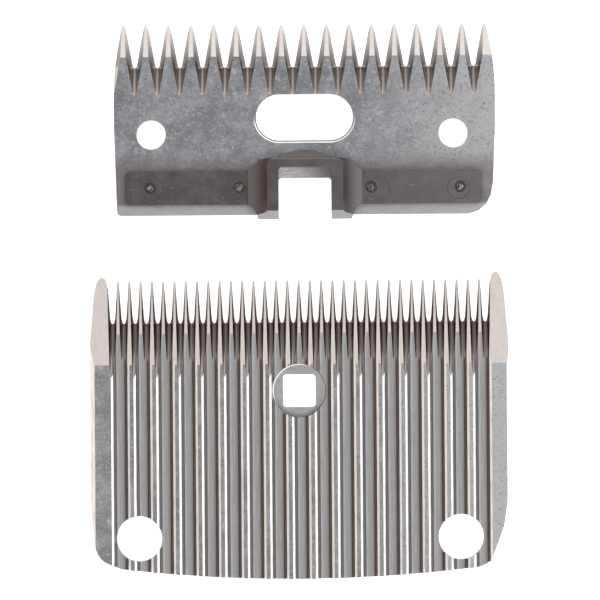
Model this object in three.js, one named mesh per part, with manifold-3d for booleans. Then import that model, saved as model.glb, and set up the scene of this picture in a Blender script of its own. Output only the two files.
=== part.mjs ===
// Comb and cutter of an animal clipper, laid out side by side.
// The comb is a wide grooved steel plate with fine teeth. The cutter is a shorter plate with
// coarse teeth, and a pressed steel drive bracket is projection welded to its back. Both blades
// lie on their ground contact faces, backs up, with the teeth pointing along +Y.
// Units are millimetres, +Z is up, and the origin is under the middle of the pair.

import * as THREE from 'three';
import { mergeVertices } from 'three/addons/utils/BufferGeometryUtils.js';
import Module from 'manifold-3d';

const wasm = await Module();
wasm.setup();

// Pitch that both blades share: the cutter has one tooth for every two of the comb.
const combPitch = 2.0835;
const cutterPitch = 2 * combPitch;

// Comb, measured from its rear edge on the centre line. The side margin is what lies outside
// the last thin tooth: one gap and the wide guard tooth.
const combThinTeeth = 33;
const combSideMargin = 5.214;
const combThickness = 3.0;
const combToothLength = 55.15;
const combLastToothX = combPitch * (combThinTeeth - 1) / 2;
const combWidth = 2 * (combLastToothX + combSideMargin);
const guardReach = { left: 0.65, right: 1.25 };
const guardLength = {
  left: combToothLength + guardReach.left,
  right: combToothLength + guardReach.right,
};
const guardRunDown = 12.5;
const combTipPointLength = 0.35;
const combRearBow = 2.0;
const combRearInset = 5.55;

// Points of the comb's outline beside the straight sides, as [inwards from the side, along Y]:
// the ground guard teeth, from the tip down, and the two rear corners, from the rear edge up.
const guardProfile = [
  [0.35, -8.3], [0.65, -4.3], [1.0, -2.0], [1.5, -0.55], [2.2, 0], [2.95, -0.5], [3.25, -2.0],
];
const combCorner = {
  left: [[3.0, 3.1], [1.7, 4.1], [0.8, 5.9], [0.4, 8.5], [0, 14]],
  right: [[3.75, 2.9], [3.2, 3.8], [1.3, 8.8], [0.75, 11.2], [0, 17]],
};

// Bevels of the comb: a flat grind that thins the teeth towards their tips, and the two sides.
const combTipThickness = 0.64;
const combBevelSlope = 0.152;
const combSideBevel = { left: 0.85, right: 0.35 };
const combSideBevelSlope = 0.7;

// Rounded vee between two comb teeth, rising from the tip to its run-out.
const combGrooveRadius = 0.5;
const combGrooveHalfAngle = 11.5 * Math.PI / 180;
const combGrooveSlope = 0.29;
const combGapDepth = 7.95;
const combRootAt = combToothLength - combGapDepth;

// Long channels between the ribs of the comb. Each holds one low land and two shallow valleys.
// They are milled apart from the vees, and sit a little to the right of the tooth lines.
const channelShift = 0.36;
const landDepth = 0.87;
const landWidth = 1.5;
const valleyDepth = 1.12;
const valleyRise = { besideLand: 0.07, besideRib: 0.12 };
const ribTopWidth = 0.74;
const ribShoulder = { across: 0.4, down: 0.34, toe: 0.12 };

// Holes of the comb: a square hole for the tension bolt inside a round seat, two round holes.
const boltSquare = 6.0;
const boltSquareCorner = 0.6;
const boltSeatDiameter = 9.85;
const boltSeatDepth = 1.2;
const boltAt = 34.7;
const combHoleDiameter = 8.35;
const combHoleInset = 8.9;
const combHoleAt = 7.6;

// Cutter plate, measured from its rear edge. The side margin is what lies outside the centre
// of an end tooth.
const cutterTeeth = 17;
const cutterSideMargin = 1.764;
const cutterRearInset = 0.45;
const cutterThickness = 2.8;
const cutterLength = 35.4;
const cutterLastToothX = cutterPitch * (cutterTeeth - 1) / 2;
const cutterWidth = 2 * (cutterLastToothX + cutterSideMargin);
const cutterTipThickness = 0.5;
const cutterBevelLength = 6.2;
const cutterShoulderDepth = 11.9;
const cutterFlankTaper = 7;
const cutterTipPointLength = 2.6;
const cutterShoulderAt = cutterLength - cutterShoulderDepth;
const cutterCorner = {
  left: { across: 0.9, along: 0.9 },
  right: { across: 4.6, along: 5.8 },
};

// How far the curved flanks of a pointed tip bow: shares of its half width and of its length.
const tipBow = { across: 0.55, along: 0.25 };
const endToothBow = { shoulder: 0.72, across: 0.5, along: 0.3, flank: 0.15, foot: 0.1, root: 1 };

// Rounded vee between two cutter teeth.
const cutterGrooveRadius = 0.43;
const cutterGrooveHalfAngle = 18.3 * Math.PI / 180;
const cutterGrooveSlope = 0.54;
const cutterGapDepth = 8.1;
const cutterRootAt = cutterLength - cutterGapDepth;

// Slot and round holes of the cutter. The slot's ends keep a tiny flat.
const slotWidth = 17.9;
const slotHeight = 8.55;
const slotEndFlat = 0.02;
const slotAt = 17.95;
const cutterHoleDiameter = 5.4;
const cutterHoleInset = 7.28;
const cutterHoleShift = -0.45;
const cutterHoleAt = 14.9;

// Drive bracket: two flat straps and, between them, an upright fork that is open to the rear.
const strapThickness = 1.6;
const strapFront = 8.2;
const strapRear = 1.9;
const strapInset = { left: 2.0, right: 2.5 };
const strapCorner = 1.0;
const forkGap = 9.7;
const forkGapEnd = 8.7;
const forkGapCorner = 0.7;
const forkWall = 2.1;
const forkFrontWall = 1.4;
const forkRear = 0.7;
const forkHeight = 5.6;
const forkHeelRear = -0.8;
const forkCorner = 1.4;
const forkFlankReach = 1.7;
const forkFootReach = 3.55;
const forkHeelReach = 1.65;
const forkPlanBow = { heel: 0.6, flank: 0.4, along: 0.5 };
const lipReach = 1.8;
const lipOverGap = 0.55;
const lipBow = { ends: 0.25, middle: 1.75 };
const forkSweepSteps = 5;
const forkFront = forkGapEnd + forkFrontWall;
const forkRimHalf = forkGap / 2 + forkWall;
const forkFootHalf = forkRimHalf + forkFootReach;

// Notch of the cutter plate under the fork: as wide as the gap, and a ledge shorter.
const notchLedge = 1.9;
const notchCorner = 0.6;

// Projection welds of the bracket: a dimple through the strap and a nub that stands in it.
const weldDimple = 2.24;
const weldRoom = 0.37;
const weldNubDrop = 0.25;
const weldNubDome = { height: 0.2, shoulder: 0.6, shoulderDrop: 0.25 };
const weldOuterInset = 6.6;
const weldInnerInset = 1.6;
const weldAt = strapRear + 3.1;
const weldOuterX = cutterWidth / 2 - weldOuterInset;
const weldInnerX = forkFootHalf + weldInnerInset;
const weldOffsets = [-weldOuterX, -weldInnerX, weldInnerX, weldOuterX];

// Lay-out of the pair: the cutter lies in front of the comb, a little to its right.
const pairClearance = 10.7;
const layoutGap = Math.max(guardLength.left, guardLength.right) + pairClearance;
const cutterShift = 1.3;

// Overrun of the cutting tools, and fineness of the curves.
const overcut = 1;
const holeSegments = 48;
const cornerSegments = 6;
const outlineSegments = 4;
const veeSegments = 8;

// Steel finishes.
const finishes = {
  comb: { color: 0x9a999c, roughness: 0.38, metalness: 1 },
  cutter: { color: 0x96969a, roughness: 0.42, metalness: 1 },
  bracket: { color: 0x5c5658, roughness: 0.45, metalness: 1 },
  weld: { color: 0x7d7876, roughness: 0.35, metalness: 1 },
};

/** Solid of a closed three.js geometry. */
function toSolid(geometry) {
  const bare = geometry.clone();
  bare.deleteAttribute('normal');
  bare.deleteAttribute('uv');
  const merged = mergeVertices(bare, 1e-5);
  const vertProperties = new Float32Array(merged.attributes.position.array);
  const triVerts = new Uint32Array(merged.index.array);
  return new wasm.Manifold(new wasm.Mesh({ numProp: 3, vertProperties, triVerts }));
}

/** Geometry of a solid, for a THREE.Mesh. */
function toGeometry(solid) {
  const { vertProperties, triVerts } = solid.getMesh();
  const geometry = new THREE.BufferGeometry();
  geometry.setAttribute('position', new THREE.BufferAttribute(new Float32Array(vertProperties), 3));
  geometry.setIndex(new THREE.BufferAttribute(new Uint32Array(triVerts), 1));
  geometry.computeVertexNormals();
  return geometry;
}

/** Shape through a list of [x, y] corners. */
function polygon(corners) {
  return new THREE.Shape(corners.map(([x, y]) => new THREE.Vector2(x, y)));
}

/** Upright prism of a plan shape, from height z0 to z1. */
function standing(shape, z0, z1, curveSegments = cornerSegments) {
  const settings = { depth: z1 - z0, bevelEnabled: false, curveSegments };
  const geometry = new THREE.ExtrudeGeometry(shape, settings);
  return toSolid(geometry.translate(0, 0, z0));
}

/** Prism of a profile in X and Z, running along Y from y0 to y1. */
function alongY(profile, y0, y1) {
  const geometry = new THREE.ExtrudeGeometry(profile, { depth: y1 - y0, bevelEnabled: false });
  return geometry.rotateX(Math.PI / 2).translate(0, y1, 0);
}

/** Solid prism of a profile in Y and Z, running along X from x0 to x1. */
function alongX(profile, x0, x1) {
  const geometry = new THREE.ExtrudeGeometry(profile, { depth: x1 - x0, bevelEnabled: false });
  const turn = new THREE.Matrix4().makeBasis(
    new THREE.Vector3(0, 1, 0), new THREE.Vector3(0, 0, 1), new THREE.Vector3(1, 0, 0));
  return toSolid(geometry.applyMatrix4(turn).translate(x0, 0, 0));
}

/** Plan shape of a circle. */
function disc(x, y, diameter) {
  const shape = new THREE.Shape();
  shape.absarc(x, y, diameter / 2, 0, 2 * Math.PI);
  return shape;
}

/** Plan shape of a rectangle with four round corners. */
function roundedBox(x0, y0, x1, y1, radius) {
  const shape = new THREE.Shape();
  shape.moveTo(x0 + radius, y0);
  shape.absarc(x1 - radius, y0 + radius, radius, -Math.PI / 2, 0);
  shape.absarc(x1 - radius, y1 - radius, radius, 0, Math.PI / 2);
  shape.absarc(x0 + radius, y1 - radius, radius, Math.PI / 2, Math.PI);
  shape.absarc(x0 + radius, y0 + radius, radius, Math.PI, 1.5 * Math.PI);
  return shape;
}

/** Half width of a rounded vee at a height above its bottom line. */
function veeHalfWidth(height, radius, halfAngle) {
  const tangentHeight = radius * (1 - Math.sin(halfAngle));
  if (height < tangentHeight) return Math.sqrt(Math.max(0, height * (2 * radius - height)));
  return radius * Math.cos(halfAngle) + (height - tangentHeight) * Math.tan(halfAngle);
}

/** Cutting tool for one rounded vee. Its bottom line falls along Y and reaches z = 0 at rootAt. */
function veeTool(x, radius, halfAngle, slope, rootAt, y0, y1, height) {
  const steps = veeSegments / 2;
  const sweep = Math.PI / 2 - halfAngle;
  const corners = [];
  for (let i = -steps; i <= steps; i += 1) {
    const angle = (sweep * i) / steps;
    corners.push([radius * Math.sin(angle), radius * (1 - Math.cos(angle))]);
  }
  const topHalfWidth = veeHalfWidth(height, radius, halfAngle);
  corners.push([topHalfWidth, height], [-topHalfWidth, height]);
  const geometry = alongY(polygon(corners), y0, y1);
  const shear = new THREE.Matrix4().set(
    1, 0, 0, x,
    0, 1, 0, 0,
    0, -slope, 1, slope * rootAt,
    0, 0, 0, 1);
  return toSolid(geometry.applyMatrix4(shear));
}

/** Cutting tool for a bevel that leaves height z = tipZ at tipY and falls with the given slope. */
function bevelTool(tipY, tipZ, slope, topZ, endY, halfWidth) {
  const heightAt = (y) => tipZ + slope * (tipY - y);
  const highY = tipY - (topZ + overcut - tipZ) / slope;
  const lowY = endY + overcut;
  const profile = polygon([[highY, topZ + overcut], [lowY, heightAt(lowY)], [lowY, topZ + overcut]]);
  return alongX(profile, -halfWidth, halfWidth);
}

/** Joins a list of solids. */
function joined(solids) {
  return solids.reduce((sum, solid) => sum.add(solid));
}

/** Adds the pointed tip of one tooth to a front edge that runs towards -X. */
function traceTip(shape, x, tipY, halfWidth, pointLength) {
  shape.lineTo(x + halfWidth, tipY - pointLength);
  const bowY = tipY - tipBow.along * pointLength;
  shape.quadraticCurveTo(x + tipBow.across * halfWidth, bowY, x, tipY);
  shape.quadraticCurveTo(x - tipBow.across * halfWidth, bowY, x - halfWidth, tipY - pointLength);
}

/** Comb blade, on its contact face, with the rear edge at y = 0. */
function makeComb() {
  const half = combWidth / 2;
  const outerGrooveX = combLastToothX + combPitch / 2;
  const frontEnd = Math.max(guardLength.left, guardLength.right);
  const gapHalfAtTip = veeHalfWidth(
    combGrooveSlope * combGapDepth, combGrooveRadius, combGrooveHalfAngle);
  const toothHalf = combPitch / 2 - veeHalfWidth(
    combGrooveSlope * (combGapDepth - combTipPointLength), combGrooveRadius, combGrooveHalfAngle);
  const gapInnerX = outerGrooveX - gapHalfAtTip;
  const shoulderY = combToothLength - combTipPointLength;
  const rearReach = half - combRearInset;
  const guardFoot = guardLength.left - guardRunDown;

  const outline = new THREE.Shape();
  outline.moveTo(0, 0);
  outline.quadraticCurveTo(rearReach / 2, 0, rearReach, combRearBow);
  outline.splineThru(combCorner.right.map(([x, y]) => new THREE.Vector2(half - x, y)));
  outline.lineTo(half, guardLength.right - guardRunDown);
  outline.splineThru(
    guardProfile.map(([x, y]) => new THREE.Vector2(half - x, guardLength.right + y)));
  outline.lineTo(gapInnerX, shoulderY);
  for (let i = 0; i < combThinTeeth; i += 1) {
    const x = combLastToothX - i * combPitch;
    traceTip(outline, x, combToothLength, toothHalf, combTipPointLength);
  }
  outline.lineTo(-gapInnerX, shoulderY);
  const leftGuard = guardProfile.map(
    ([x, y]) => new THREE.Vector2(x - half, guardLength.left + y)).reverse();
  const leftCorner = combCorner.left.map(([x, y]) => new THREE.Vector2(x - half, y)).reverse();
  outline.lineTo(leftGuard[0].x, leftGuard[0].y);
  outline.splineThru([...leftGuard.slice(1), new THREE.Vector2(-half, guardFoot)]);
  outline.lineTo(-half, leftCorner[0].y);
  outline.splineThru([...leftCorner.slice(1), new THREE.Vector2(-rearReach, combRearBow)]);
  outline.quadraticCurveTo(-rearReach / 2, 0, 0, 0);
  let comb = standing(outline, 0, combThickness, outlineSegments);

  // Channels between the ribs.
  const channels = [];
  const ribEdge = combPitch - ribTopWidth / 2;
  const ribFoot = ribEdge - ribShoulder.across;
  const valleyX = combPitch / 2;
  const landTop = combThickness - landDepth;
  const valleyFloor = combThickness - valleyDepth;
  const side = [
    [landWidth / 2, landTop],
    [(landWidth / 2 + valleyX) / 2, valleyFloor + valleyRise.besideLand],
    [valleyX, valleyFloor],
    [ribFoot - ribShoulder.toe, valleyFloor + valleyRise.besideRib],
    [ribFoot, combThickness - ribShoulder.down],
    [ribEdge, combThickness],
    [ribEdge, combThickness + overcut],
  ];
  const mirrored = side.map(([x, z]) => [-x, z]).reverse();
  const channelProfile = polygon([...mirrored, ...side]);
  for (let i = 0; i < combThinTeeth; i += 2) {
    const channel = alongY(channelProfile, -overcut, combToothLength + overcut);
    const x = combLastToothX - i * combPitch + channelShift;
    channels.push(toSolid(channel.translate(x, 0, 0)));
  }
  comb = comb.subtract(joined(channels));

  // Vees between the teeth, one more than the thin teeth.
  const runOut = combRootAt - combThickness / combGrooveSlope - overcut;
  const veeHeight = combThickness + combGrooveSlope * (frontEnd - combRootAt) + overcut;
  for (let i = 0; i <= combThinTeeth; i += 1) {
    const x = outerGrooveX - i * combPitch;
    comb = comb.subtract(veeTool(x, combGrooveRadius, combGrooveHalfAngle, combGrooveSlope,
      combRootAt, runOut, frontEnd + overcut, veeHeight));
  }

  // Front bevel and side bevels.
  comb = comb.subtract(bevelTool(
    combToothLength, combTipThickness, combBevelSlope, combThickness, frontEnd, combWidth));
  for (const [sign, width] of [[-1, combSideBevel.left], [1, combSideBevel.right]]) {
    const edge = sign * half;
    const inner = edge - sign * (width + overcut / combSideBevelSlope);
    const outer = edge + sign * overcut;
    const low = combThickness - (width + overcut) * combSideBevelSlope;
    const top = combThickness + overcut;
    const corners = [[outer, low], [outer, top], [inner, top]];
    const profile = polygon(sign > 0 ? corners : corners.reverse());
    comb = comb.subtract(toSolid(alongY(profile, -overcut, frontEnd + overcut)));
  }

  // Bolt seat, square hole and the two round holes.
  const top = combThickness + overcut;
  const seat = disc(0, boltAt, boltSeatDiameter);
  comb = comb.subtract(standing(seat, combThickness - boltSeatDepth, top, holeSegments));
  const squareHalf = boltSquare / 2;
  const square = roundedBox(
    -squareHalf, boltAt - squareHalf, squareHalf, boltAt + squareHalf, boltSquareCorner);
  comb = comb.subtract(standing(square, -overcut, top));
  for (const sign of [-1, 1]) {
    const hole = disc(sign * (half - combHoleInset), combHoleAt, combHoleDiameter);
    comb = comb.subtract(standing(hole, -overcut, top, holeSegments));
  }
  return comb;
}

/** Cutter plate, on its contact face, with the rear edge at y = 0. */
function makeCutterPlate() {
  const half = cutterWidth / 2;
  const rearHalf = half - cutterRearInset;
  const { left, right } = cutterCorner;
  const pointAt = cutterLength - cutterTipPointLength;
  const toothHalf = cutterPitch / 2 - veeHalfWidth(
    cutterGrooveSlope * (pointAt - cutterRootAt), cutterGrooveRadius, cutterGrooveHalfAngle);
  const outerTipX = cutterLastToothX + endToothBow.shoulder * toothHalf + endToothBow.foot;
  const outerBowX = cutterLastToothX + endToothBow.across * toothHalf;
  const outerBowY = cutterLength - endToothBow.along * cutterTipPointLength;
  const innerBowX = cutterLastToothX - tipBow.across * toothHalf;
  const innerBowY = cutterLength - tipBow.along * cutterTipPointLength;
  const flankX = half - endToothBow.flank;
  const flankY = cutterRootAt + endToothBow.root;

  const outline = new THREE.Shape();
  outline.moveTo(left.across - rearHalf, 0);
  outline.lineTo(rearHalf - right.across, 0);
  outline.bezierCurveTo(rearHalf - 0.4 * right.across, 0.04 * right.along,
    rearHalf - 0.05 * right.across, 0.4 * right.along, rearHalf, right.along);
  outline.lineTo(half, cutterShoulderAt - cutterFlankTaper);
  outline.lineTo(half, cutterShoulderAt);
  outline.quadraticCurveTo(flankX, flankY, outerTipX, pointAt);
  outline.quadraticCurveTo(outerBowX, outerBowY, cutterLastToothX, cutterLength);
  outline.quadraticCurveTo(innerBowX, innerBowY, cutterLastToothX - toothHalf, pointAt);
  for (let i = 1; i < cutterTeeth - 1; i += 1) {
    const x = cutterLastToothX - i * cutterPitch;
    traceTip(outline, x, cutterLength, toothHalf, cutterTipPointLength);
  }
  outline.lineTo(toothHalf - cutterLastToothX, pointAt);
  outline.quadraticCurveTo(-innerBowX, innerBowY, -cutterLastToothX, cutterLength);
  outline.quadraticCurveTo(-outerBowX, outerBowY, -outerTipX, pointAt);
  outline.quadraticCurveTo(-flankX, flankY, -half, cutterShoulderAt);
  outline.lineTo(-half, cutterShoulderAt - cutterFlankTaper);
  outline.lineTo(-rearHalf, left.along);
  outline.quadraticCurveTo(-rearHalf, 0, left.across - rearHalf, 0);
  let plate = standing(outline, 0, cutterThickness, outlineSegments);

  // Vees between the teeth, and one on the outer flank of the left end tooth.
  const runOut = cutterRootAt - cutterThickness / cutterGrooveSlope - overcut;
  const veeHeight = cutterThickness + cutterGrooveSlope * cutterGapDepth + overcut;
  for (let i = 0; i < cutterTeeth; i += 1) {
    const x = cutterLastToothX - (i + 0.5) * cutterPitch;
    plate = plate.subtract(veeTool(x, cutterGrooveRadius, cutterGrooveHalfAngle,
      cutterGrooveSlope, cutterRootAt, runOut, cutterLength + overcut, veeHeight));
  }
  const bevelSlope = (cutterThickness - cutterTipThickness) / cutterBevelLength;
  plate = plate.subtract(bevelTool(cutterLength, cutterTipThickness, bevelSlope, cutterThickness,
    cutterLength, cutterWidth));

  // Slot, round holes, and the notch under the fork.
  const top = cutterThickness + overcut;
  const slotHalf = slotWidth / 2;
  const slot = roundedBox(-slotHalf, slotAt - slotHeight / 2, slotHalf, slotAt + slotHeight / 2,
    (slotHeight - slotEndFlat) / 2);
  plate = plate.subtract(standing(slot, -overcut, top, holeSegments / 3));
  for (const sign of [-1, 1]) {
    const x = cutterHoleShift + sign * (half - cutterHoleInset);
    const hole = disc(x, cutterHoleAt, cutterHoleDiameter);
    plate = plate.subtract(standing(hole, -overcut, top, holeSegments));
  }
  const notchFront = forkGapEnd - notchLedge;
  const notch = roundedBox(-forkGap / 2, -3 * overcut, forkGap / 2, notchFront, notchCorner);
  return plate.subtract(standing(notch, -overcut, top));
}

/** Outline of the fork block at height z, swept outwards by a share of its full spread. */
function forkRing(z, spread) {
  const halfWidth = forkRimHalf + spread * (forkFootReach + overcut);
  const front = forkFront + spread * lipReach;
  const radius = forkCorner + spread * lipReach;
  const rear = forkHeelRear - 3 * overcut;
  const ring = [new THREE.Vector3(-halfWidth, rear, z), new THREE.Vector3(halfWidth, rear, z)];
  for (const sign of [1, -1]) {
    for (let i = 0; i <= cornerSegments; i += 1) {
      const angle = (Math.PI / 2) * (i / cornerSegments) + (sign > 0 ? 0 : Math.PI / 2);
      const x = sign * (halfWidth - radius) + radius * Math.cos(angle);
      ring.push(new THREE.Vector3(x, front - radius + radius * Math.sin(angle), z));
    }
  }
  return ring;
}

/** Solid through a stack of flat rings with equal numbers of corners, lowest first. */
function loft(rings) {
  const count = rings[0].length;
  const indices = [];
  for (let level = 0; level + 1 < rings.length; level += 1) {
    for (let i = 0; i < count; i += 1) {
      const a = level * count + i;
      const b = level * count + (i + 1) % count;
      indices.push(a, b, b + count, a, b + count, a + count);
    }
  }
  const cap = rings[0].map(({ x, y }) => new THREE.Vector2(x, y));
  const capFaces = THREE.ShapeUtils.triangulateShape(cap, []);
  const topStart = (rings.length - 1) * count;
  for (const [a, b, c] of capFaces) {
    indices.push(a, c, b, topStart + a, topStart + b, topStart + c);
  }
  const geometry = new THREE.BufferGeometry().setFromPoints(rings.flat());
  geometry.setIndex(indices);
  return toSolid(geometry);
}

/** Drive bracket, standing on the cutter plate. */
function makeDriveBracket() {
  const base = cutterThickness;
  const strapTop = base + strapThickness;
  const rimTop = base + forkHeight;
  const half = cutterWidth / 2;
  const straps = standing(roundedBox(
    strapInset.left - half, strapRear, half - strapInset.right, strapFront, strapCorner),
  base, strapTop);

  // Fork block: upright at the rim, swept out to the straps and the lip at its foot.
  const levels = [[base, 1], [strapTop, 1]];
  for (let i = 1; i <= forkSweepSteps; i += 1) {
    const rise = i / forkSweepSteps;
    levels.push([strapTop + rise * (rimTop - strapTop), (1 - rise) ** 2]);
  }
  const block = loft(levels.map(([z, spread]) => forkRing(z, spread)));

  // Plan of the fork: the flanks swing back to the heels and forward to the corners, and the
  // front ends in a bowed lip.
  const plan = new THREE.Shape();
  const gapHalf = forkGap / 2;
  const heelX = forkRimHalf + forkHeelReach;
  const flankX = forkRimHalf + forkFlankReach;
  const lipX = gapHalf + lipOverGap;
  const lipY = forkFront + lipBow.ends * lipReach;
  const bow = forkPlanBow;
  plan.moveTo(-heelX, forkHeelRear - overcut);
  plan.lineTo(heelX, forkHeelRear - overcut);
  plan.lineTo(heelX, forkHeelRear);
  plan.quadraticCurveTo(heelX + bow.heel, strapRear - bow.along, forkFootHalf, strapRear);
  plan.lineTo(forkFootHalf, strapFront);
  plan.quadraticCurveTo(flankX + bow.flank, strapFront + bow.along, flankX, forkFront);
  plan.lineTo(lipX, lipY);
  plan.quadraticCurveTo(0, forkFront + lipBow.middle * lipReach, -lipX, lipY);
  plan.lineTo(-flankX, forkFront);
  plan.quadraticCurveTo(-flankX - bow.flank, strapFront + bow.along, -forkFootHalf, strapFront);
  plan.lineTo(-forkFootHalf, strapRear);
  plan.quadraticCurveTo(-heelX - bow.heel, strapRear - bow.along, -heelX, forkHeelRear);
  const fork = block.intersect(standing(plan, base - overcut, rimTop + overcut));
  let bracket = straps.add(fork);

  // Gap between the fork walls, the sloped heel faces, and the weld dimples.
  const gap = roundedBox(-gapHalf, forkHeelRear - 3 * overcut, gapHalf, forkGapEnd, forkGapCorner);
  bracket = bracket.subtract(standing(gap, base - overcut, rimTop + overcut));
  const heelLean = (forkRear - forkHeelRear) / forkHeight;
  const heelEnd = forkHeelRear - 4 * overcut;
  const heel = polygon([
    [forkHeelRear - heelLean * overcut, base - overcut],
    [forkRear + heelLean * overcut, rimTop + overcut],
    [heelEnd, rimTop + overcut],
    [heelEnd, base - overcut],
  ]);
  bracket = bracket.subtract(alongX(heel, -half, half));
  for (const x of weldOffsets) {
    const dimple = disc(x, weldAt, weldDimple);
    bracket = bracket.subtract(standing(dimple, base - overcut, rimTop, holeSegments / 2));
  }
  return bracket;
}

/** Nub of one projection weld, standing on the plate inside the dimple of a strap. */
function makeWeldNub(x) {
  const radius = weldDimple / 2 - weldRoom;
  const top = cutterThickness + strapThickness - weldNubDrop;
  const { height, shoulder, shoulderDrop } = weldNubDome;
  const profile = [
    new THREE.Vector2(0, cutterThickness),
    new THREE.Vector2(radius, cutterThickness),
    new THREE.Vector2(radius, top - height),
    new THREE.Vector2(shoulder * radius, top - shoulderDrop * height),
    new THREE.Vector2(0, top),
  ];
  const nub = new THREE.LatheGeometry(profile, holeSegments / 3).rotateX(Math.PI / 2);
  return toSolid(nub.translate(x, weldAt, 0));
}

/** Named mesh of a solid in its finish. */
function makeMesh(name, solid, finish) {
  const material = new THREE.MeshStandardMaterial({ ...finishes[finish], name: finish });
  const mesh = new THREE.Mesh(toGeometry(solid), material);
  mesh.name = name;
  return mesh;
}

const middle = (layoutGap + cutterLength) / 2;

const combGroup = new THREE.Group();
combGroup.position.y = -middle;
combGroup.add(makeMesh('comb', makeComb(), 'comb'));

const cutterGroup = new THREE.Group();
cutterGroup.position.set(cutterShift, layoutGap - middle, 0);
cutterGroup.add(makeMesh('cutter_plate', makeCutterPlate(), 'cutter'));
cutterGroup.add(makeMesh('drive_bracket', makeDriveBracket(), 'bracket'));
weldOffsets.forEach((x, i) => {
  const place = ['left_outer', 'left_inner', 'right_inner', 'right_outer'][i];
  cutterGroup.add(makeMesh(`weld_nub_${place}`, makeWeldNub(x), 'weld'));
});

const group = new THREE.Group();
group.add(combGroup, cutterGroup);

export default group;
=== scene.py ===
import math

import bmesh
import bpy
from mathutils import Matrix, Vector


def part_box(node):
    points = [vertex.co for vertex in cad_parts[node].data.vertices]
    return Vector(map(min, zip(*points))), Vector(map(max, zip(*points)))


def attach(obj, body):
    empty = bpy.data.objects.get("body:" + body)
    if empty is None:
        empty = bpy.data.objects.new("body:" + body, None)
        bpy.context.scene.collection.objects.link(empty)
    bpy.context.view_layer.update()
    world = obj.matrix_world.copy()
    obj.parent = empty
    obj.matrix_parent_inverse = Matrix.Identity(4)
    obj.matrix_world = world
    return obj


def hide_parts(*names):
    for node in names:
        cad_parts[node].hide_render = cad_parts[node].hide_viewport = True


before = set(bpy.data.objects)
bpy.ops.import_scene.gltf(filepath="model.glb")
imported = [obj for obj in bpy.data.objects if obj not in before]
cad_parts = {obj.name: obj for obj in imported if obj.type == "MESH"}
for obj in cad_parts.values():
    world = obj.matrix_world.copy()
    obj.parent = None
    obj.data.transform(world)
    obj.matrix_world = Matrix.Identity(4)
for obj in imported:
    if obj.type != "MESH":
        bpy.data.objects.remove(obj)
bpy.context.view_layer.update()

# ---------------------------------------------------------------------------------------------
# Camera. A long lens looks straight down on the pair, which lies turned by a fraction of a
# degree on its white ground.
# ---------------------------------------------------------------------------------------------
MM = 0.001
VIEW_WIDTH = 110.8 * MM
CAMERA_HEIGHT = 900 * MM
VIEW_CENTRE = (0.23 * MM, 0.15 * MM)
PAIR_TURN = math.radians(0.42)
camera_data = bpy.data.cameras.new("camera")
camera_data.sensor_width = 36  # mm, as the lens is
camera_data.lens = camera_data.sensor_width * CAMERA_HEIGHT / VIEW_WIDTH
camera_data.clip_start = 10 * MM
camera = bpy.data.objects.new("camera", camera_data)
camera.location = (*VIEW_CENTRE, CAMERA_HEIGHT)
camera.rotation_euler = (0, 0, -PAIR_TURN)
bpy.context.scene.collection.objects.link(camera)
bpy.context.scene.camera = camera
bpy.context.scene.view_settings.view_transform = "Standard"


# ---------------------------------------------------------------------------------------------
# Light tent. White cloth all round gives soft light from the horizon up, cooler and brighter
# from the right. Straight overhead the tent is open, so level steel looks mid grey.
# ---------------------------------------------------------------------------------------------
class Wire:
    """One value of a node tree. Sums and products of wires add the Math nodes they need."""

    def __init__(self, tree, socket):
        self.tree = tree
        self.socket = socket

    def node(self, kind, settings=None, inputs=None, output=0):
        """Adds a node with its settings and the values or links of its sockets."""
        made = self.tree.nodes.new(kind)
        for name, value in (settings or {}).items():
            if name == "stops":
                while len(made.color_ramp.elements) < len(value):
                    made.color_ramp.elements.new(1.0)
                for element, (position, colour) in zip(made.color_ramp.elements, value):
                    element.position = position
                    element.color = colour
            else:
                setattr(made, name, value)
        for name, value in (inputs or {}).items():
            if isinstance(value, Wire):
                self.tree.links.new(value.socket, made.inputs[name])
            else:
                made.inputs[name].default_value = value
        return Wire(self.tree, made.outputs[output])

    def math(self, operation, *others):
        """One Math node on this value and the others."""
        values = {place: value for place, value in enumerate((self, *others))}
        return self.node("ShaderNodeMath", {"operation": operation}, values)

    def __add__(self, other):
        return self.math("ADD", other)

    def __sub__(self, other):
        return self.math("SUBTRACT", other)

    def __rsub__(self, other):
        return (self * -1.0).math("ADD", other)

    def __mul__(self, other):
        return self.math("MULTIPLY", other)

    __radd__ = __add__
    __rmul__ = __mul__

    def rise(self, low, high):
        """0 up to low, 1 from high on, smooth between. Falls if high is below low."""
        if high < low:
            return 1.0 - self.rise(high, low)
        return self.node("ShaderNodeMapRange", {"interpolation_type": "SMOOTHSTEP"},
                         {"Value": self, "From Min": low, "From Max": high})

    def mix(self, at_zero, at_one):
        """Colour that goes from one to another as this value goes from 0 to 1."""
        return self.node("ShaderNodeMix", {"data_type": "RGBA"},
                         {0: self, 6: at_zero, 7: at_one}, output=2)

    def axes(self):
        """The X, Y and Z of this vector, as three wires."""
        split = self.node("ShaderNodeSeparateXYZ", inputs={0: self})
        return [Wire(self.tree, out) for out in split.socket.node.outputs]

    def stretched(self, x, y, z):
        """This vector with each axis scaled, for streaks and grain."""
        return self.node("ShaderNodeVectorMath", {"operation": "MULTIPLY"}, {0: self, 1: (x, y, z)})

    def noise(self, size, detail=2.0, roughness=0.5):
        """Even noise from 0 to 1 in patches of about the given size in metres."""
        return self.node("ShaderNodeTexNoise", inputs={
            "Vector": self, "Scale": 1.0 / size, "Detail": detail, "Roughness": roughness})


def grey(level):
    return (level, level, level, 1)


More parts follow.
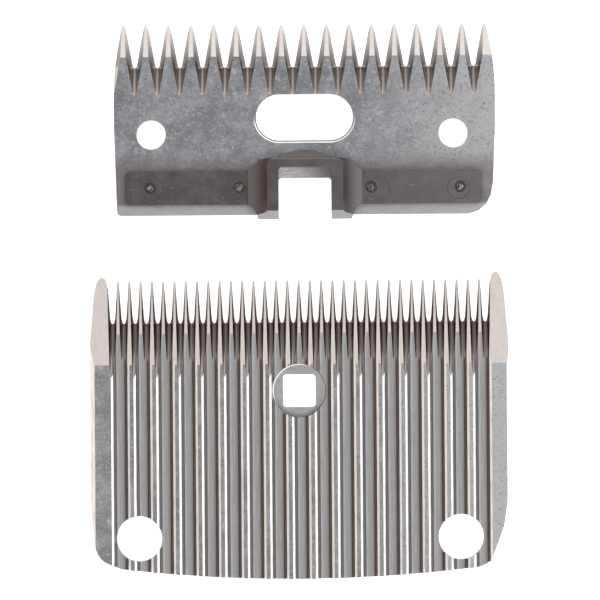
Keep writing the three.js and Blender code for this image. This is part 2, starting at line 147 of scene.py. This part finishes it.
world = bpy.data.worlds.new("light tent")
bpy.context.scene.world = world
world.use_nodes = True
tent = world.node_tree
tent.nodes.clear()
sky = Wire(tent, None)
across, _, up = sky.node("ShaderNodeTexCoord").axes()
TENT_LEFT = (1.02, 0.95, 0.90, 1)
TENT_RIGHT = (1.60, 1.60, 1.61, 1)
OPENING = (0.30, 0.305, 0.32, 1)
GROUND_LIGHT = grey(0.9)
wall_light = across.rise(-0.5, 0.5).mix(TENT_LEFT, TENT_RIGHT)
tent_light = up.rise(0.93, 0.985).mix(wall_light, OPENING)
all_round = up.rise(-0.02, 0.06).mix(GROUND_LIGHT, tent_light)
glow = sky.node("ShaderNodeBackground", inputs={"Color": all_round})
world_out = tent.nodes.new("ShaderNodeOutputWorld")
tent.links.new(glow.socket, world_out.inputs["Surface"])

GROUND_HALF_WIDTH = 1500 * MM
GROUND_LEVEL = -0.02 * MM
floor_data = bpy.data.meshes.new("white_ground")
sheet = bmesh.new()
bmesh.ops.create_grid(sheet, x_segments=1, y_segments=1, size=GROUND_HALF_WIDTH)
bmesh.ops.translate(sheet, verts=sheet.verts, vec=(0, 0, GROUND_LEVEL))
sheet.to_mesh(floor_data)
sheet.free()
floor = bpy.data.objects.new("white_ground", floor_data)
bpy.context.scene.collection.objects.link(floor)
paper = bpy.data.materials.new("white ground")
paper.use_nodes = True
paper_shader = paper.node_tree.nodes["Principled BSDF"]
paper_shader.inputs["Base Color"].default_value = grey(0.9)
paper_shader.inputs["Roughness"].default_value = 0.9
paper_shader.inputs["Emission Color"].default_value = grey(1.0)
paper_shader.inputs["Emission Strength"].default_value = 0.75
floor_data.materials.append(paper)

# ---------------------------------------------------------------------------------------------
# Comb blade. One plate of hardened tool steel. The ribs and end lands keep their tumbled back,
# the channels between them are milled, a vee is milled between each two teeth, and the front
# and the two sides are ground to a bevel. Its face under the cutter is ground flat.
# ---------------------------------------------------------------------------------------------
MERGE_DISTANCE = 0.0005 * MM
LEVEL_ENOUGH = 0.97


def blade_copy(node_name, piece_name, flat_within=1.0, round_within=24.0):
    """A CAD node's mesh as one merged piece: flat faces stay crisp, arcs shade smooth."""
    blade_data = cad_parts[node_name].data.copy()
    shape = bmesh.new()
    shape.from_mesh(blade_data)
    bmesh.ops.remove_doubles(shape, verts=shape.verts, dist=MERGE_DISTANCE)
    bmesh.ops.dissolve_limit(
        shape, angle_limit=math.radians(0.2), verts=shape.verts, edges=shape.edges)
    for face in shape.faces:
        face.smooth = True
    for edge in shape.edges:
        if len(edge.link_faces) != 2:
            continue
        turn = math.degrees(edge.calc_face_angle(0))
        level = any(abs(face.normal.z) > LEVEL_ENOUGH for face in edge.link_faces)
        edge.smooth = turn < (flat_within if level else round_within)
    shape.to_mesh(blade_data)
    shape.free()
    piece = bpy.data.objects.new(piece_name, blade_data)
    blade_data.materials.clear()
    bpy.context.scene.collection.objects.link(piece)
    return piece


class Steel:
    """A steel finish: a metal shader with rounded edges, and wires to build its pattern from."""

    def __init__(self, name, edge_round):
        self.material = bpy.data.materials.new(name)
        self.material.use_nodes = True
        tree = self.material.node_tree
        self.shader = tree.nodes["Principled BSDF"]
        self.shader.inputs["Metallic"].default_value = 1.0
        self.place = Wire(tree, tree.nodes.new("ShaderNodeTexCoord").outputs["Object"])
        self.x, self.y, self.z = self.place.axes()
        self.edge_round = edge_round

    def rounded(self):
        """The surface direction with edges rounded over, as honing and tumbling leave them."""
        return self.place.node("ShaderNodeBevel", {"samples": 4}, {"Radius": self.edge_round})

    def finish(self, colour, roughness, relief=None, relief_height=0.0):
        """Feeds the shader, with the relief bumped by its height, and gives the material."""
        links = self.place.tree.links
        normal = self.rounded()
        if relief is not None:
            normal = self.place.node("ShaderNodeBump", inputs={
                "Height": relief, "Distance": relief_height, "Strength": 1.0, "Normal": normal})
        for name, value in (("Base Color", colour), ("Roughness", roughness), ("Normal", normal)):
            if isinstance(value, Wire):
                links.new(value.socket, self.shader.inputs[name])
            else:
                self.shader.inputs[name].default_value = value
        return self.material


TUMBLED_RELIEF = 0.014 * MM
PALER_RIGHTWARDS = (4 * MM, 42 * MM)
PIT_COLOUR = (0.16, 0.16, 0.17, 1)
DING_COLOUR = (0.85, 0.85, 0.86, 1)


def tumbled_finish(name, dark, mid, light, marks_and_light=None):
    """Back of a blade as the tumbling barrel leaves it: cloudy, scuffed and finely pitted.

    What the added marks, painted light among them, do to the colour, roughness and relief comes under
    the dings.
    """
    steel = Steel(name, 0.13 * MM)
    clouds = steel.place.noise(4.5 * MM, 4.0, 0.62)
    smears = steel.place.noise(2.6 * MM, 6.0, 0.72)
    grain = steel.place.noise(0.50 * MM, 4.0, 0.7)
    pits = steel.place.noise(0.26 * MM, 1.0, 0.5)
    dings = steel.place.noise(0.24 * MM, 2.0, 0.7)
    colour = clouds.rise(0.36, 0.66).mix(dark, mid)
    colour = steel.x.rise(*PALER_RIGHTWARDS).mix(colour, light)
    colour = smears.rise(0.56, 0.68).math("MULTIPLY", 0.75).mix(colour, light)
    colour = grain.rise(0.54, 0.70).math("MULTIPLY", 0.85).mix(colour, light)
    colour = grain.rise(0.45, 0.32).math("MULTIPLY", 0.80).mix(colour, dark)
    colour = pits.rise(0.34, 0.26).mix(colour, PIT_COLOUR)
    roughness = 0.28 + 0.20 * grain
    relief = grain + pits * 0.5
    if marks_and_light is not None:
        colour, roughness, relief = marks_and_light(steel, colour, roughness, relief)
    colour = dings.rise(0.69, 0.75).mix(colour, DING_COLOUR)
    return steel.finish(colour, roughness, relief, TUMBLED_RELIEF)


TOOTH_PITCH = 2.0835 * MM
comb_low, comb_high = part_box("comb")
comb_top = comb_high[2]

tumbled_comb = tumbled_finish(
    "comb tumbled back", (0.28, 0.285, 0.295, 1), (0.42, 0.425, 0.44, 1), (0.58, 0.58, 0.59, 1))

ground = Steel("ground bevel", 0.05 * MM)
grind_lines = ground.place.stretched(1.0, 0.03, 1.0).noise(0.10 * MM, 2.0, 0.6)
grind_cloud = ground.place.noise(3.0 * MM, 3.0, 0.6)
ground_colour = grind_lines.rise(0.35, 0.65).mix((0.61, 0.565, 0.54, 1), (0.70, 0.655, 0.63, 1))
ground_colour = grind_cloud.rise(0.55, 0.75).mix(ground_colour, (0.60, 0.56, 0.54, 1))
ground_blade = ground.finish(ground_colour, 0.42, grind_lines, 0.004 * MM)

# A milled channel from left to right, with its light and shade painted in: a grey valley of painted
# shade, a land with a painted highlight on its left shoulder that dulls towards the right, and a brown
# valley darkened as painted shade. The marks of the milling run along it. There is one channel to two
# teeth, a little to the right of their lines.
CHANNEL_PERIOD = 2 * TOOTH_PITCH
CHANNEL_SHIFT = 0.36 * MM
CHANNEL_LIGHT_AND_SHADE_TONES = [
    (0.20, (0.36, 0.35, 0.35, 1)), (0.29, (0.36, 0.35, 0.35, 1)), (0.325, (0.58, 0.575, 0.575, 1)),
    (0.345, (0.84, 0.84, 0.85, 1)), (0.375, (0.80, 0.80, 0.81, 1)), (0.42, (0.66, 0.655, 0.66, 1)),
    (0.56, (0.61, 0.60, 0.61, 1)), (0.62, (0.49, 0.475, 0.475, 1)), (0.67, (0.36, 0.335, 0.33, 1)),
    (0.70, (0.30, 0.27, 0.25, 1)), (0.78, (0.31, 0.275, 0.255, 1)),
]
milled = Steel("milled channel", 0.05 * MM)
mill_lines = milled.place.stretched(1.0, 0.02, 1.0).noise(0.14 * MM, 3.0, 0.6)
mill_cloud = milled.place.noise(2.2 * MM, 3.0, 0.6)
channel_place = ((milled.x - CHANNEL_SHIFT) * (1.0 / CHANNEL_PERIOD) + 0.5).math("FRACT")
channel_colour = channel_place.node(
    "ShaderNodeValToRGB", {"stops": CHANNEL_LIGHT_AND_SHADE_TONES}, {0: channel_place})
channel_colour = mill_lines.rise(0.62, 0.40).math("MULTIPLY", 0.30).mix(
    channel_colour, (0.30, 0.28, 0.275, 1))
channel_colour = mill_cloud.rise(0.55, 0.72).math("MULTIPLY", 0.25).mix(
    channel_colour, (0.40, 0.38, 0.375, 1))
milled_comb = milled.finish(channel_colour, 0.30, mill_lines, 0.004 * MM)

chamfer = Steel("rib chamfer", 0.05 * MM)
chamfer_streaks = chamfer.place.stretched(1.0, 0.12, 1.0).noise(0.35 * MM, 3.0, 0.6)
chamfer_colour = chamfer_streaks.rise(0.3, 0.6).mix((0.70, 0.68, 0.67, 1), (0.88, 0.87, 0.86, 1))
chamfer_comb = chamfer.finish(chamfer_colour, 0.28)

seat = Steel("bolt seat", 0.09 * MM)
seat_cloud = seat.place.noise(1.6 * MM, 3.0, 0.6)
seat_colour = seat_cloud.rise(0.4, 0.65).mix((0.56, 0.555, 0.56, 1), (0.65, 0.645, 0.65, 1))
# The seat's floor has painted shade towards its rear wall, and the corner at the wall is painted:
# painted shade round the right and rear, a painted highlight at front left.
SEAT_AT = comb_low[1] + 34.7 * MM
SEAT_RADIUS = 4.925 * MM
SEAT_FLOOR = comb_top - 1.2 * MM
seat_y = seat.y - SEAT_AT
seat_reach = (seat.x * seat.x + seat_y * seat_y).math("SQRT")
rightwards_rear = (seat.x - seat_y) * (math.sqrt(0.5) / SEAT_RADIUS)
seat_foot = seat_reach.rise(SEAT_RADIUS - 0.20 * MM, SEAT_RADIUS - 0.06 * MM)
seat_shade = seat_reach.rise(SEAT_RADIUS - 1.0 * MM, SEAT_RADIUS - 0.1 * MM)
seat_colour = (seat_shade * seat_y.rise(1.0 * MM, -4.5 * MM)).math("MULTIPLY", 0.85).mix(
    seat_colour, (0.26, 0.25, 0.25, 1))
seat_colour = (seat_foot * rightwards_rear.rise(-0.55, -0.1)).mix(seat_colour, (0.035, 0.032, 0.032, 1))
seat_colour = (seat_foot * rightwards_rear.rise(-0.35, -0.75)).mix(seat_colour, (0.95, 0.94, 0.93, 1))
seat_comb = seat.finish(seat_colour, 0.32, seat_foot, 0.07 * MM)


def vee_finish(name, spacing, first, floor_brown, root, tip, shade_tones, edge_on):
    """Milled vee with painted shade: brown behind the root, dark just past it where the gap is deep,
    pale at the tips.

    The edge_on colour holds back the reflection of steep walls, so that they stay dark.
    """
    vee = Steel(name, 0.04 * MM)
    vee.shader.inputs["Specular Tint"].default_value = edge_on
    marks = vee.place.stretched(1.0, 0.05, 0.3).noise(0.12 * MM, 2.0, 0.6)
    off_line = ((vee.x - first) * (1.0 / spacing)).math("FRACT") - 0.5
    bottom = off_line.math("ABSOLUTE").rise(0.22 * MM / spacing, 0.06 * MM / spacing)
    along_tooth = (vee.y - root) * (1.0 / (tip - root))
    wall_shade = along_tooth.node("ShaderNodeValToRGB", {"stops": shade_tones}, {0: along_tooth})
    colour = (bottom * along_tooth.rise(0.03, 0.0)).mix(wall_shade, floor_brown)
    colour = marks.rise(0.62, 0.40).math("MULTIPLY", 0.35).mix(colour, (0.20, 0.175, 0.165, 1))
    return vee.finish(colour, 0.30)


COMB_ROOT = comb_low[1] + 47.2 * MM
COMB_GAP_DEPTH = 7.95 * MM
# Painted shade down the comb's vee walls: darkest just past the root, paling towards the tips.
COMB_VEE_SHADE_TONES = [
    (0.0, (0.33, 0.30, 0.285, 1)), (0.05, (0.10, 0.09, 0.085, 1)), (0.35, (0.095, 0.09, 0.085, 1)),
    (0.72, (0.46, 0.44, 0.425, 1)), (1.0, (0.80, 0.77, 0.74, 1)),
]
vee_comb = vee_finish("comb vee", TOOTH_PITCH, 0.0, (0.14, 0.12, 0.11, 1),
                      COMB_ROOT, COMB_ROOT + COMB_GAP_DEPTH, COMB_VEE_SHADE_TONES,
                      (0.30, 0.28, 0.27, 1))

edge = Steel("blade edge", 0.05 * MM)
edge_lines = edge.place.stretched(0.3, 0.3, 1.0).noise(0.12 * MM, 3.0, 0.6)
edge_colour = edge_lines.rise(0.3, 0.7).mix((0.22, 0.21, 0.205, 1), (0.33, 0.32, 0.31, 1))
edge_steel = edge.finish(edge_colour, 0.36)

SAME_LEVEL = 0.02 * MM
CHAMFER_DEPTH = 0.5 * MM
SIDE_BEVEL = 0.9 * MM


def comb_finish(face):
    """The operation that cut a face of the comb, other than its back, bevel and edges."""
    normal, height = face.normal, face.center.z
    along = abs(normal.y) < 0.01
    if normal.z > 0.999 and abs(height - SEAT_FLOOR) < SAME_LEVEL:
        return "seat"
    if min(face.center.x - comb_low[0], comb_high[0] - face.center.x) < SIDE_BEVEL:
        return "chamfer"
    if along and normal.z > 0.5 and height > comb_top - CHAMFER_DEPTH:
        return "chamfer"
    return "land" if along else "vee"


def sort_faces(piece, top, materials, other_finish):
    """Gives each face of a blade the finish of the operation that cut it."""
    finishes = list(materials)
    for finish in finishes:
        piece.data.materials.append(materials[finish])
    for face in piece.data.polygons:
        normal = face.normal
        if normal.z > 0.998 and face.center.z > top - SAME_LEVEL:
            finish = "back"
        elif normal.z < -0.9:
            finish = "bevel"
        elif normal.z > 0.9 and abs(normal.x) < 0.01 and normal.y > 0.1:
            finish = "bevel"
        elif abs(normal.z) < 0.02:
            finish = "edge"
        else:
            finish = other_finish(face)
        face.material_index = finishes.index(finish)


comb = blade_copy("comb", "comb_blade")
sort_faces(comb, comb_top, {
    "back": tumbled_comb, "bevel": ground_blade, "land": milled_comb, "chamfer": chamfer_comb,
    "seat": seat_comb, "vee": vee_comb, "edge": edge_steel}, comb_finish)
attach(comb, "comb")
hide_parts("comb")

# ---------------------------------------------------------------------------------------------
# Cutter blade. The shorter moving plate, with seventeen coarse teeth between deep round vees.
# Its back is tumbled darker than the comb's, and it is browner beside the straps.
# ---------------------------------------------------------------------------------------------
plate_low, plate_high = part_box("cutter_plate")
strap_low, strap_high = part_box("drive_bracket")
cutter_top = plate_high[2]
fork_middle = (plate_low[0] + plate_high[0]) / 2
STRAP_FRONT = strap_low[1] + 9.0 * MM
STRAP_REAR = STRAP_FRONT - 6.3 * MM
FORK_GAP_HALF = 4.85 * MM
FORK_GAP_END = STRAP_FRONT + 0.5 * MM
SLOT_AT = plate_low[1] + 17.95 * MM
SLOT_END_RADIUS = 4.275 * MM
SLOT_STRAIGHT_HALF = 4.675 * MM


def strap_side_tint(steel, aside, colour):
    """Brown tint of the back in front of the straps, and a paler strip behind them."""
    ragged = steel.place.noise(2.5 * MM, 3.0, 0.6)
    ahead = steel.y - STRAP_FRONT
    behind = steel.y - STRAP_REAR
    tint = ahead.rise(3.8 * MM, 0.2 * MM) * behind.rise(0.05 * MM, 0.15 * MM)
    tint = (tint * (0.45 + ragged * 0.7)).math("MINIMUM", 1.0) * aside.rise(4.6 * MM, 5.0 * MM)
    paler = behind.rise(0.3 * MM, -0.5 * MM).math("MULTIPLY", 0.75)
    colour = paler.mix(colour, (0.56, 0.56, 0.58, 1))
    return tint.mix(colour, (0.255, 0.235, 0.23, 1))


def fork_ledge(steel, aside):
    """Where the plate shows inside the fork, and its painted light and shade, which darkens rightwards
    from a painted highlight at the left.
    """
    ledge = aside.rise(FORK_GAP_HALF + 0.10 * MM, FORK_GAP_HALF)
    ledge = ledge * (steel.y - FORK_GAP_END).rise(0.4 * MM, 0.2 * MM)
    streak = steel.place.stretched(0.15, 1.0, 1.0).noise(0.3 * MM, 3.0, 0.6)
    ledge_light_and_streaks = (steel.x - fork_middle).rise(-5.0 * MM, 5.5 * MM).mix(
        (0.97, 0.97, 0.97, 1), (0.50, 0.49, 0.49, 1))
    ledge_light_and_streaks = streak.rise(0.60, 0.45).math("MULTIPLY", 0.35).mix(ledge_light_and_streaks, (0.45, 0.44, 0.44, 1))
    return ledge, ledge_light_and_streaks


def slot_edge(steel, aside, colour):
    """Painted light at the slot's rear side: a dark line of painted shade, and a bright raised one
    round it with a painted highlight.
    """
    past_end = (aside - SLOT_STRAIGHT_HALF).math("MAXIMUM", 0.0)
    slot_y = steel.y - SLOT_AT
    off_slot = (past_end * past_end + slot_y * slot_y).math("SQRT") - SLOT_END_RADIUS
    near_side = slot_y.rise(1.0 * MM, -2.0 * MM)
    rim = off_slot.rise(0.50 * MM, 0.36 * MM) * near_side
    colour = (rim * off_slot.rise(0.16 * MM, 0.24 * MM)).mix(colour, (0.92, 0.90, 0.88, 1))
    colour = (rim * off_slot.rise(0.22 * MM, 0.14 * MM)).mix(colour, (0.10, 0.09, 0.09, 1))
    return colour, off_slot.rise(0.16 * MM, 0.46 * MM) * near_side


def cutter_details(steel, colour, roughness, relief):
    """The cutter's back beside the straps, inside the fork and along the slot's rear edge."""
    aside = (steel.x - fork_middle).math("ABSOLUTE")
    colour = strap_side_tint(steel, aside, colour)
    ledge, ledge_light_and_streaks = fork_ledge(steel, aside)
    colour, broken = slot_edge(steel, aside, ledge.mix(colour, ledge_light_and_streaks))
    return colour, roughness + ledge * 0.32, relief + broken * (0.06 * MM / TUMBLED_RELIEF)


tumbled_cutter = tumbled_finish(
    "cutter tumbled back", (0.26, 0.265, 0.285, 1), (0.39, 0.40, 0.425, 1), (0.55, 0.56, 0.575, 1),
    cutter_details)
CUTTER_ROOT = plate_low[1] + 27.3 * MM
CUTTER_GAP_DEPTH = 8.1 * MM
# Painted shade down the cutter's vee walls: darkest just past the root, paling towards the tips.
CUTTER_VEE_SHADE_TONES = [
    (0.0, (0.48, 0.435, 0.41, 1)), (0.04, (0.125, 0.115, 0.11, 1)), (0.22, (0.115, 0.108, 0.105, 1)),
    (0.45, (0.22, 0.21, 0.205, 1)), (0.70, (0.38, 0.365, 0.355, 1)), (1.0, (0.57, 0.55, 0.53, 1)),
]
vee_cutter = vee_finish("cutter vee", 2 * TOOTH_PITCH, fork_middle, (0.30, 0.275, 0.26, 1),
                        CUTTER_ROOT, CUTTER_ROOT + CUTTER_GAP_DEPTH, CUTTER_VEE_SHADE_TONES,
                        (0.82, 0.80, 0.79, 1))
cutter = blade_copy("cutter_plate", "cutter_blade")
sort_faces(cutter, cutter_top, {
    "back": tumbled_cutter, "bevel": ground_blade, "vee": vee_cutter, "edge": edge_steel},
    lambda face: "vee")
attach(cutter, "cutter")
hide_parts("cutter_plate")

# ---------------------------------------------------------------------------------------------
# Drive bracket. A pressing of mild steel: two flat straps and an upright fork between them. It is dark,
# a little scuffed on the flats, browner on the flanks, with a painted sheen below the rim and painted
# light on the two heels.
# ---------------------------------------------------------------------------------------------
pressed = Steel("pressed bracket", 0.14 * MM)
pressed_cloud = pressed.place.noise(3.5 * MM, 4.0, 0.6)
pressed_grain = pressed.place.noise(0.35 * MM, 3.0, 0.6)
scratches = pressed.place.stretched(0.08, 1.0, 1.0).noise(0.16 * MM, 2.0, 0.6)
pressed_colour = pressed_cloud.rise(0.35, 0.7).mix(
    (0.105, 0.093, 0.099, 1), (0.145, 0.132, 0.140, 1))
pressed_colour = pressed.x.rise(-10 * MM, 30 * MM).math("MULTIPLY", 0.35).mix(
    pressed_colour, (0.24, 0.23, 0.235, 1))
pressed_colour = pressed_grain.rise(0.62, 0.80).mix(pressed_colour, (0.26, 0.255, 0.26, 1))
pressed_colour = scratches.rise(0.68, 0.74).mix(pressed_colour, (0.30, 0.29, 0.29, 1))
# The drawn flanks of the fork, between the straps and the rim, are a reddish brown.
STRAP_TOP = cutter_top + 1.6 * MM
RIM_TOP = strap_high[2]
foot = pressed.z.rise(STRAP_TOP + 0.05 * MM, STRAP_TOP + 0.4 * MM)
flank = pressed.z.rise(STRAP_TOP + 0.6 * MM, STRAP_TOP + 2.4 * MM)
below_rim = pressed.z.rise(RIM_TOP, RIM_TOP - 0.5 * MM)
pressed_colour = (foot * below_rim).mix(pressed_colour, (0.138, 0.125, 0.124, 1))
pressed_colour = (flank * below_rim).mix(pressed_colour, (0.082, 0.066, 0.066, 1))
# A painted sheen: the flank is paler just below the rim.
shoulder_painted_sheen = pressed.z.rise(RIM_TOP - 1.6 * MM, RIM_TOP - 0.6 * MM) * below_rim
pressed_colour = shoulder_painted_sheen.math("MULTIPLY", 0.8).mix(pressed_colour, (0.19, 0.175, 0.175, 1))
# There is a shallow ring in the strap at each weld, a little off its centre, made as a dent with
# painted shade along its line.
INNER_RING = 13.4 * MM
OUTER_RING = 28.1 * MM
RING_RADIUS = 2.0 * MM
RING_LINE = strap_low[1] + 5.5 * MM
ring_dent_and_shade = 0.0
for off_centre in (INNER_RING, OUTER_RING):
    out = (pressed.x - fork_middle).math("ABSOLUTE") - off_centre
    ahead = pressed.y - RING_LINE
    reach = (out * out + ahead * ahead).math("SQRT")
    line = (reach - RING_RADIUS).math("ABSOLUTE").rise(0.16 * MM, 0.04 * MM)
    ring_dent_and_shade = line + ring_dent_and_shade
pressed_colour = (ring_dent_and_shade * 0.5).mix(pressed_colour, (0.05, 0.045, 0.045, 1))
pressed_steel = pressed.finish(
    pressed_colour, 0.36 + 0.14 * pressed_grain, pressed_grain * 0.5 - ring_dent_and_shade, 0.02 * MM)

# The sloping ends of the two heels, which face the rear, are painted paler than the rest as painted
# light.
sheared = Steel("heel painted light", 0.14 * MM)
sheared_grain = sheared.place.stretched(1.0, 0.4, 0.4).noise(0.25 * MM, 3.0, 0.6)
heel_painted_light = sheared_grain.rise(0.35, 0.65).mix((0.145, 0.142, 0.142, 1), (0.21, 0.206, 0.206, 1))
heel_painted_light_steel = sheared.finish(heel_painted_light, 0.38, sheared_grain, 0.010 * MM)
bracket = blade_copy("drive_bracket", "drive_fork")
bracket.data.materials.append(pressed_steel)
bracket.data.materials.append(heel_painted_light_steel)
for face in bracket.data.polygons:
    face.material_index = 1 if face.normal.y < -0.8 and 0.1 < face.normal.z < 0.5 else 0
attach(bracket, "cutter")
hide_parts("drive_bracket")

# ---------------------------------------------------------------------------------------------
# Weld nubs. Four projection welds that hold the straps to the plate: small lumps of once molten steel,
# with painted shade in their hollows and a painted highlight on their crests.
# ---------------------------------------------------------------------------------------------
weld = Steel("weld nub", 0.10 * MM)
weld_lumps = weld.place.noise(0.6 * MM, 3.0, 0.6)
# Painted shade in the hollows and a painted highlight on the crests, following the lumps of the relief.
weld_colour = weld_lumps.rise(0.46, 0.62).mix((0.10, 0.09, 0.095, 1), (0.34, 0.325, 0.33, 1))
weld_steel = weld.finish(weld_colour, 0.22, weld_lumps, 0.12 * MM)
for place in ("left_outer", "left_inner", "right_inner", "right_outer"):
    nub = blade_copy("weld_nub_" + place, "nub_" + place)
    nub.data.materials.append(weld_steel)
    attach(nub, "cutter")
    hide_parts("weld_nub_" + place)
